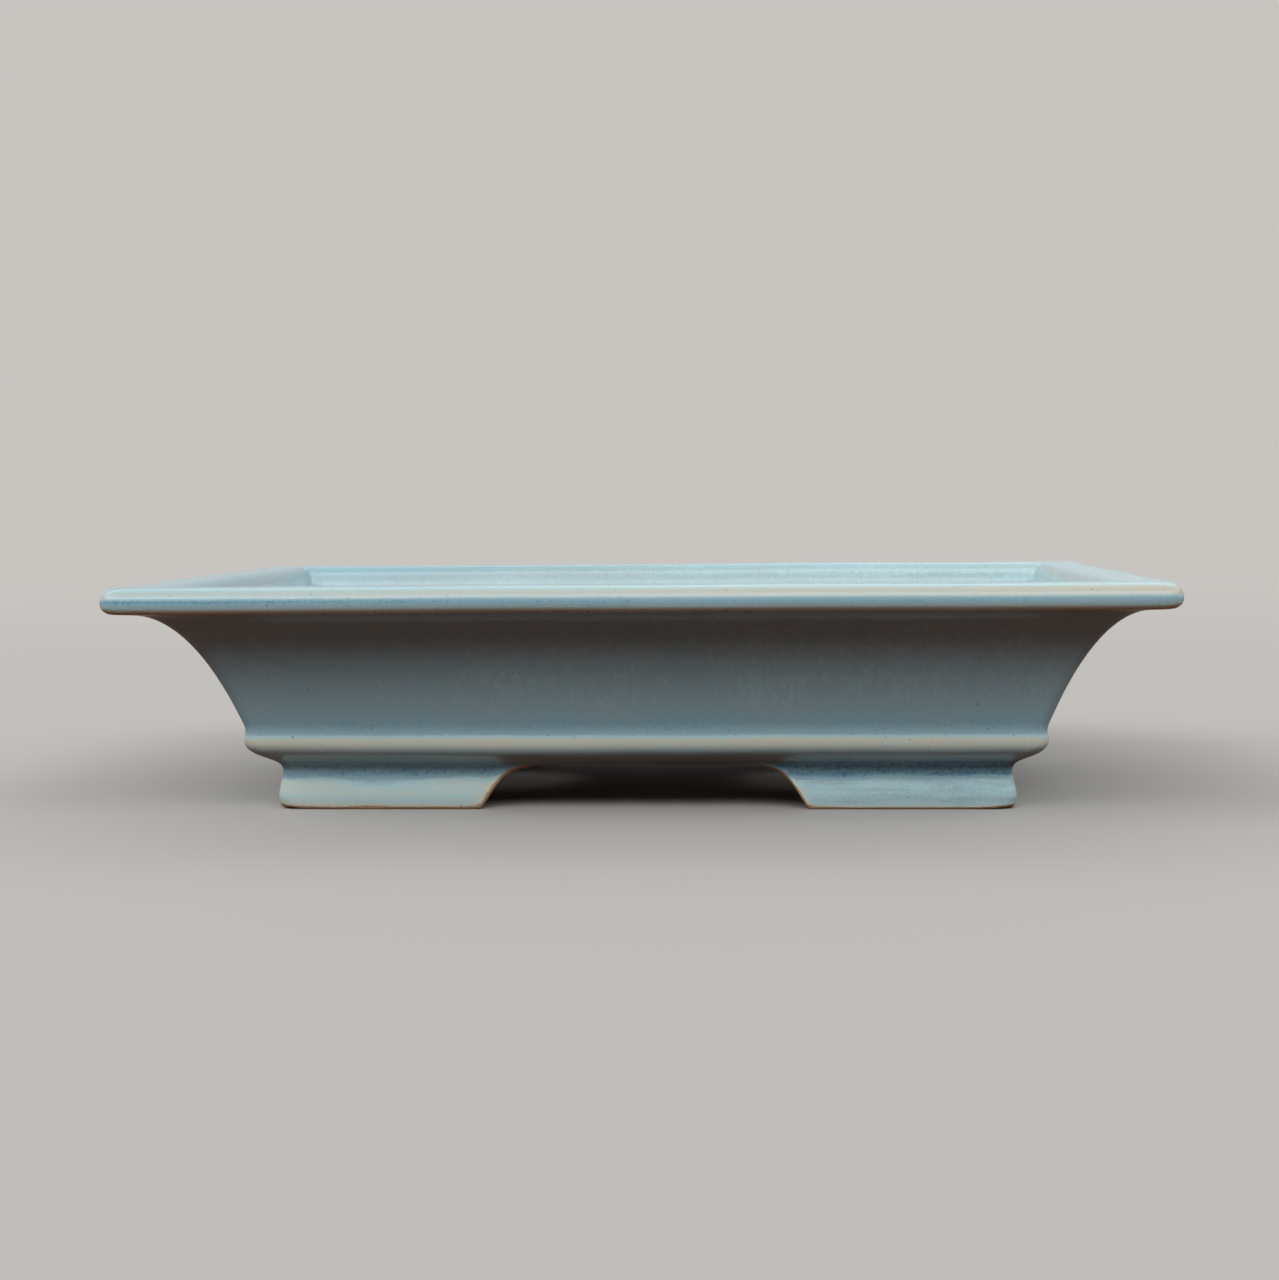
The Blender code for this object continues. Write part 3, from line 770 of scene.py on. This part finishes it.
def build_screen(side, sx, plastic):
    """A moulded square net with rounded strands, lying over a drain hole."""
    half = SCREEN_CELLS * SCREEN_PITCH / 2
    lines = [-half - SCREEN_BORDER]
    for i in range(SCREEN_CELLS):
        start = -half + i * SCREEN_PITCH + SCREEN_STRAND / 2
        lines += [start, start + SCREEN_PITCH - SCREEN_STRAND]
    lines.append(half + SCREEN_BORDER)
    spans = len(lines) - 1
    bm = bmesh.new()
    grid = [[bm.verts.new((x, y, 0)) for x in lines] for y in lines]
    for row in range(spans):
        for column in range(spans):
            if row % 2 and column % 2:
                continue
            corners = (grid[row][column], grid[row][column + 1], grid[row + 1][column + 1], grid[row + 1][column])
            bm.faces.new(corners)
    for vert in bm.verts:
        vert.co.x += 0.12 * MM * noise.noise(Vector((vert.co.x * 300, vert.co.y * 300, sx)))
        vert.co.y += 0.12 * MM * noise.noise(Vector((vert.co.y * 300, vert.co.x * 300, sx + 4)))
    mesh = bpy.data.meshes.new("net")
    bm.to_mesh(mesh)
    bm.free()
    net = add_piece(f"net_screen_{side}", mesh, plastic)
    net.location = (sx * DRAIN_HOLE_X, 0, screen_low.z)
    thick = net.modifiers.new("thick", "SOLIDIFY")
    thick.thickness = screen_high.z - screen_low.z
    thick.offset = 1.0
    bevel = net.modifiers.new("round", "BEVEL")
    bevel.width = 0.38 * MM
    bevel.segments = 3
    bevel.limit_method = "ANGLE"
    apply_modifiers(net)
    net.data.shade_smooth()
    net.data.set_sharp_from_angle(angle=math.radians(50))
    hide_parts("drain_screen_" + side)
    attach(net, "root")


def clip_half():
    """The clip's centre line from the middle of its top out to a tip under the floor."""
    top = clip_high.z - WIRE_RADIUS
    under = clip_low.z + WIRE_RADIUS
    leg, loop_radius, bend_radius = 3 * SCREEN_PITCH, 4.2 * MM, 1.6 * MM
    tip = clip_high.x - DRAIN_HOLE_X
    loop = arc((leg, -loop_radius), loop_radius, -140, 90, 30)
    start = np.linspace((0, 0), loop[0], 8)[:-1]
    path = [(x, y, top) for x, y in (*start, *loop[:-1])]
    path += [(leg, 0, z) for z in np.linspace(top, under + bend_radius, 12)]
    bend = arc((leg + bend_radius, under + bend_radius), bend_radius, 180, 270, 8)
    path += [(x, 0, z) for x, z in bend[1:]]
    path += [(x, 0, under) for x in np.linspace(bend[-1][0], tip, 5)[1:]]
    return np.array(path)


def smoothed(path, rounds):
    """Eases a path's corners without moving its ends."""
    for _ in range(rounds):
        path[1:-1] = (path[:-2] + 2 * path[1:-1] + path[2:]) / 4
    return path


def build_clip(side, sx, wire):
    half = clip_half()
    path = smoothed(np.vstack((half[:0:-1] * (-1, -1, 1), half)), 3)
    curve = bpy.data.curves.new(f"wire_clip_{side}", "CURVE")
    curve.dimensions = "3D"
    curve.bevel_depth = WIRE_RADIUS
    curve.bevel_resolution = 5
    curve.use_fill_caps = True
    spline = curve.splines.new("POLY")
    spline.points.add(len(path) - 1)
    for target, point in zip(spline.points, path):
        target.co = (point[0] + sx * DRAIN_HOLE_X, point[1], point[2], 1.0)
    holder = bpy.data.objects.new("wire", curve)
    bpy.context.scene.collection.objects.link(holder)
    mesh = bpy.data.meshes.new_from_object(holder.evaluated_get(bpy.context.evaluated_depsgraph_get()))
    bpy.data.objects.remove(holder)
    bm = bmesh.new()
    bm.from_mesh(mesh)
    bmesh.ops.remove_doubles(bm, verts=bm.verts, dist=0.01 * MM)
    bmesh.ops.recalc_face_normals(bm, faces=bm.faces)
    bm.to_mesh(mesh)
    bm.free()
    clip = add_piece(f"wire_clip_{side}", mesh, wire, 50)
    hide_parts("screen_clip_" + side)
    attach(clip, "root")


# ------------------------------------------------------------------ studio

BACKDROP = (0.578, 0.558, 0.533)
FLOOR_SEEN = (0.490, 0.475, 0.453)
FLOOR_BOUNCE = (0.086, 0.023, 0.006)

# Sky radiance against the sine of the elevation, in front of the pot and behind it
FRONT_SKY = (
    (0.00, 0.0), (0.39, 0.1), (0.46, 3.25), (0.57, 3.6), (0.68, 3.9), (0.76, 1.5), (0.86, 0.4), (1.00, 0.25)
)
BACK_SKY = ((0.00, 0.56), (0.44, 0.56), (0.58, 1.3), (0.72, 1.3), (0.84, 0.3), (1.00, 0.25))
SKY_PEAK = 4.0
SKY_TURN = math.radians(-12)


def build_studio_floor():
    """A pale floor that melts into an even backdrop. Light that bounces off it is warm and dim."""
    mesh = bpy.data.meshes.new("studio_floor")
    reach = 12.0
    corners = [(-reach, -reach, 0), (reach, -reach, 0), (reach, reach, 0), (-reach, reach, 0)]
    mesh.from_pydata(corners, [], [(0, 1, 2, 3)])
    floor = bpy.data.objects.new("studio_floor", mesh)
    bpy.context.scene.collection.objects.link(floor)
    s = Shader("pale_floor")
    seen = s.add("ShaderNodeLightPath").outputs["Is Camera Ray"]
    s.finish(Base_Color=s.mix(seen, FLOOR_BOUNCE, FLOOR_SEEN), Roughness=s.spread(seen, 0.0, 1.0, 0.2, 0.75))
    s.feed(s.surface.inputs["Specular IOR Level"], s.spread(seen, 0.0, 1.0, 0.28, 0.15))
    far = s.spread(s.add("ShaderNodeVectorMath", {"operation": "LENGTH"}, in_0=s.place).outputs["Value"], 0.45, 2.2)
    glow = s.add("ShaderNodeEmission", Color=BACKDROP, Strength=1.0)
    blend = s.add("ShaderNodeMixShader", in_0=s.math("MULTIPLY", far, seen))
    s.tree.links.new(s.surface.outputs[0], blend.inputs[1])
    s.tree.links.new(glow.outputs[0], blend.inputs[2])
    s.tree.links.new(blend.outputs[0], s.tree.nodes["Material Output"].inputs["Surface"])
    mesh.materials.append(s.material)


def build_sky():
    """Soft light from a wide band of window in front and a ceiling above. The camera sees a plain backdrop."""
    world = bpy.data.worlds.new("studio")
    bpy.context.scene.world = world
    world.use_nodes = True
    tree = world.node_tree
    tree.nodes.clear()

    def add(kind, **settings):
        node = tree.nodes.new(kind)
        for key, value in settings.items():
            setattr(node, key, value)
        return node

    def link(source, target):
        tree.links.new(source, target)

    direction = add("ShaderNodeSeparateXYZ")
    link(add("ShaderNodeTexCoord").outputs["Generated"], direction.inputs[0])
    skies = []
    for stops in (BACK_SKY, FRONT_SKY):
        ramp = add("ShaderNodeValToRGB")
        link(direction.outputs["Z"], ramp.inputs[0])
        band = ramp.color_ramp
        while len(band.elements) < len(stops):
            band.elements.new(0.5)
        for element, (position, radiance) in zip(band.elements, stops):
            element.position = position
            element.color = (*[radiance / SKY_PEAK] * 3, 1.0)
        skies.append(ramp.outputs["Color"])
    aim = add("ShaderNodeVectorMath", operation="DOT_PRODUCT")
    aim.inputs[1].default_value = (math.sin(SKY_TURN), -math.cos(SKY_TURN), 0)
    link(tree.nodes["Texture Coordinate"].outputs["Generated"], aim.inputs[0])
    front = add("ShaderNodeMapRange", interpolation_type="SMOOTHSTEP")
    front.inputs["From Min"].default_value = 0.02
    front.inputs["From Max"].default_value = 0.30
    link(aim.outputs["Value"], front.inputs["Value"])
    blend = add("ShaderNodeMix", data_type="RGBA")
    link(front.outputs[0], blend.inputs[0])
    link(skies[0], blend.inputs[6])
    link(skies[1], blend.inputs[7])
    light = add("ShaderNodeBackground")
    light.inputs["Strength"].default_value = SKY_PEAK
    link(blend.outputs[2], light.inputs["Color"])
    backdrop = add("ShaderNodeBackground")
    backdrop.inputs["Color"].default_value = (*BACKDROP, 1.0)
    choose = add("ShaderNodeMixShader")
    link(add("ShaderNodeLightPath").outputs["Is Camera Ray"], choose.inputs[0])
    link(light.outputs[0], choose.inputs[1])
    link(backdrop.outputs[0], choose.inputs[2])
    link(choose.outputs[0], add("ShaderNodeOutputWorld").inputs["Surface"])


def build_camera():
    """A 65 mm view from just above the lip, turned a little left of the pot's own axis."""
    data = bpy.data.cameras.new("camera")
    data.sensor_width = 36.0
    data.lens = 65.02
    camera = bpy.data.objects.new("camera", data)
    camera.location = (48.9 * MM, -908.3 * MM, 110.1 * MM)
    tilt_down, turn_left, roll = 3.434, 3.483, -0.445
    turn = Euler((math.radians(90 - tilt_down), 0, 0)).to_matrix() @ Euler((0, 0, math.radians(roll))).to_matrix()
    camera.rotation_euler = (Euler((0, 0, math.radians(turn_left))).to_matrix() @ turn).to_euler()
    bpy.context.scene.collection.objects.link(camera)
    bpy.context.scene.camera = camera


# ------------------------------------------------------------------ everything

def main():
    glaze = glaze_material()
    clay = clay_material("buff_stoneware")
    build_walls_and_lip(clay)
    build_floor(clay)
    build_feet(clay)
    build_coat(glaze)
    plastic = plastic_material()
    wire = wire_material()
    for side, sx in (("left", -1), ("right", 1)):
        build_screen(side, sx, plastic)
        build_clip(side, sx, wire)
    build_studio_floor()
    build_sky()
    build_camera()
    bpy.context.scene.view_settings.view_transform = "Standard"


main()
